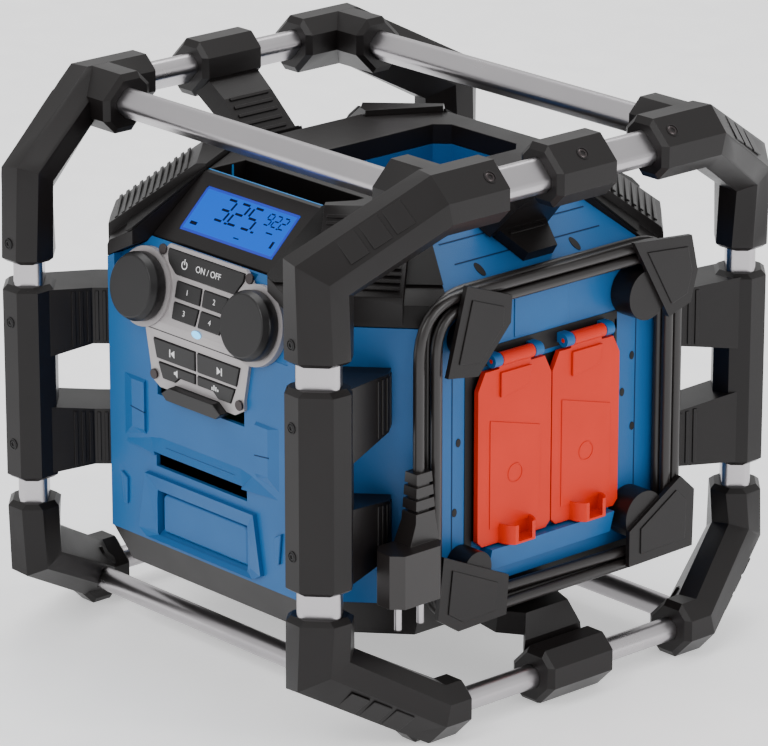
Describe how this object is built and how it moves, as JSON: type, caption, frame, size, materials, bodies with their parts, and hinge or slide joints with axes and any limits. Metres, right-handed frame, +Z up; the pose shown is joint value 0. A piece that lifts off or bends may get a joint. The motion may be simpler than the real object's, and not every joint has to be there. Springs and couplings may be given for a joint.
{
  "type": "jobsite radio",
  "caption": "Rugged cube-shaped jobsite radio in a roll cage of aluminium tubes and moulded elbows, with covered mains outlets and a wound cord on its side.",
  "frame": {"origin": "on the floor under the middle of the cage", "axes": "+Z up, -Y the front with the display and knobs, +X the side with the mains outlets"},
  "size_m": [0.3876, 0.4142, 0.3793],
  "materials": {
    "tube": "satin",
    "cage_black": "satin",
    "housing_blue": "satin",
    "cover_black": "satin",
    "grille": "matte",
    "inside": "matte",
    "silver": "satin",
    "display": "gloss",
    "board": "satin",
    "cover_red": "satin",
    "pack": "satin",
    "cord": "satin",
    "screw": "satin",
    "knob": "satin",
    "key": "satin"
  },
  "bodies": {
    "radio": {"top_tube_left": "tube", "bottom_tube_left": "tube", "top_tube_right": "tube", "bottom_tube_right": "tube", "top_tube_front": "tube", "bottom_tube_front": "tube", "top_tube_rear": "tube", "bottom_tube_rear": "tube", "upright_tubes": "tube", "upper_elbow_front_right": "cage_black", "lower_elbow_front_right": "cage_black", "sleeve_front_right": "cage_black", "upper_elbow_rear_right": "cage_black", "lower_elbow_rear_right": "cage_black", "sleeve_rear_right": "cage_black", "upper_elbow_front_left": "cage_black", "lower_elbow_front_left": "cage_black", "sleeve_front_left": "cage_black", "upper_elbow_rear_left": "cage_black", "lower_elbow_rear_left": "cage_black", "sleeve_rear_left": "cage_black", "top_clamp_left": "cage_black", "bottom_clamp_left": "cage_black", "top_clamp_right": "cage_black", "bottom_clamp_right": "cage_black", "main_housing": "housing_blue", "top_cover": "cover_black", "base_tray": "cover_black", "speaker_pods": "cover_black", "speaker_grilles": "grille", "speaker_drivers": "inside", "subwoofer": "inside", "control_plate": "silver", "display_window": "display", "display_module": "inside", "main_board": "board", "power_supply": "inside", "outlet_insert": "cover_black", "cord_hooks": "cover_black", "cord_gland": "cord", "cord_winding": "cord", "cord_tail": "cord", "mains_plug": "cord", "case_screws": "screw"},
    "key_power": {"key_power": "key"},
    "key_preset_1": {"key_preset_1": "key"},
    "key_preset_2": {"key_preset_2": "key"},
    "key_preset_3": {"key_preset_3": "key"},
    "key_preset_4": {"key_preset_4": "key"},
    "key_previous": {"key_previous": "key"},
    "key_next": {"key_next": "key"},
    "key_mute": {"key_mute": "key"},
    "key_equalizer": {"key_equalizer": "key"},
    "key_source": {"key_source": "key"},
    "volume_knob": {"volume_knob": "knob"},
    "tuning_knob": {"tuning_knob": "knob"},
    "outlet_cover_front": {"outlet_cover_front": "cover_red"},
    "outlet_cover_rear": {"outlet_cover_rear": "cover_red"},
    "media_door": {"media_door": "cover_black"},
    "battery_pack": {"battery_pack": "pack"}
  },
  "joints": [
    {"name": "key_power_press", "type": "slide", "parent": "radio", "child": "key_power", "axis": [0, 0.9798, -0.2], "range_m": [0, 0.001], "stiffness_N_per_m": 900, "springref_m": -0.0006},
    {"name": "key_preset_1_press", "type": "slide", "parent": "radio", "child": "key_preset_1", "axis": [0, 0.9798, -0.2], "range_m": [0, 0.001], "stiffness_N_per_m": 900, "springref_m": -0.0006},
    {"name": "key_preset_2_press", "type": "slide", "parent": "radio", "child": "key_preset_2", "axis": [0, 0.9798, -0.2], "range_m": [0, 0.001], "stiffness_N_per_m": 900, "springref_m": -0.0006},
    {"name": "key_preset_3_press", "type": "slide", "parent": "radio", "child": "key_preset_3", "axis": [0, 0.9798, -0.2], "range_m": [0, 0.001], "stiffness_N_per_m": 900, "springref_m": -0.0006},
    {"name": "key_preset_4_press", "type": "slide", "parent": "radio", "child": "key_preset_4", "axis": [0, 0.9798, -0.2], "range_m": [0, 0.001], "stiffness_N_per_m": 900, "springref_m": -0.0006},
    {"name": "key_previous_press", "type": "slide", "parent": "radio", "child": "key_previous", "axis": [0, 1, 0], "range_m": [0, 0.001], "stiffness_N_per_m": 900, "springref_m": -0.0006},
    {"name": "key_next_press", "type": "slide", "parent": "radio", "child": "key_next", "axis": [0, 1, 0], "range_m": [0, 0.001], "stiffness_N_per_m": 900, "springref_m": -0.0006},
    {"name": "key_mute_press", "type": "slide", "parent": "radio", "child": "key_mute", "axis": [0, 1, 0], "range_m": [0, 0.001], "stiffness_N_per_m": 900, "springref_m": -0.0006},
    {"name": "key_equalizer_press", "type": "slide", "parent": "radio", "child": "key_equalizer", "axis": [0, 1, 0], "range_m": [0, 0.001], "stiffness_N_per_m": 900, "springref_m": -0.0006},
    {"name": "key_source_press", "type": "slide", "parent": "radio", "child": "key_source", "axis": [0, 1, 0], "range_m": [0, 0.001], "stiffness_N_per_m": 900, "springref_m": -0.0006},
    {"name": "volume_knob_turn", "type": "hinge", "parent": "radio", "child": "volume_knob", "pos_m": [-0.056, -0.1606, 0.26011], "axis": [0, -0.9798, 0.2], "continuous": true},
    {"name": "tuning_knob_turn", "type": "hinge", "parent": "radio", "child": "tuning_knob", "pos_m": [0.056, -0.1606, 0.26011], "axis": [0, -0.9798, 0.2], "continuous": true},
    {"name": "outlet_cover_front_swing", "type": "hinge", "parent": "radio", "child": "outlet_cover_front", "pos_m": [0.16, -0.03225, 0.238], "axis": [0, -1, 0], "range_deg": [0, 110], "stiffness_Nm_per_rad": 0.01, "springref_deg": -57.3},
    {"name": "outlet_cover_rear_swing", "type": "hinge", "parent": "radio", "child": "outlet_cover_rear", "pos_m": [0.16, 0.03125, 0.238], "axis": [0, -1, 0], "range_deg": [0, 110], "stiffness_Nm_per_rad": 0.01, "springref_deg": -57.3},
    {"name": "media_door_swing", "type": "hinge", "parent": "radio", "child": "media_door", "pos_m": [-0.16, 0, 0.238], "axis": [0, 1, 0], "range_deg": [0, 110]},
    {"name": "battery_pack_slide", "type": "slide", "parent": "radio", "child": "battery_pack", "axis": [0, 1, 0], "range_m": [0, 0.05]}
  ]
}
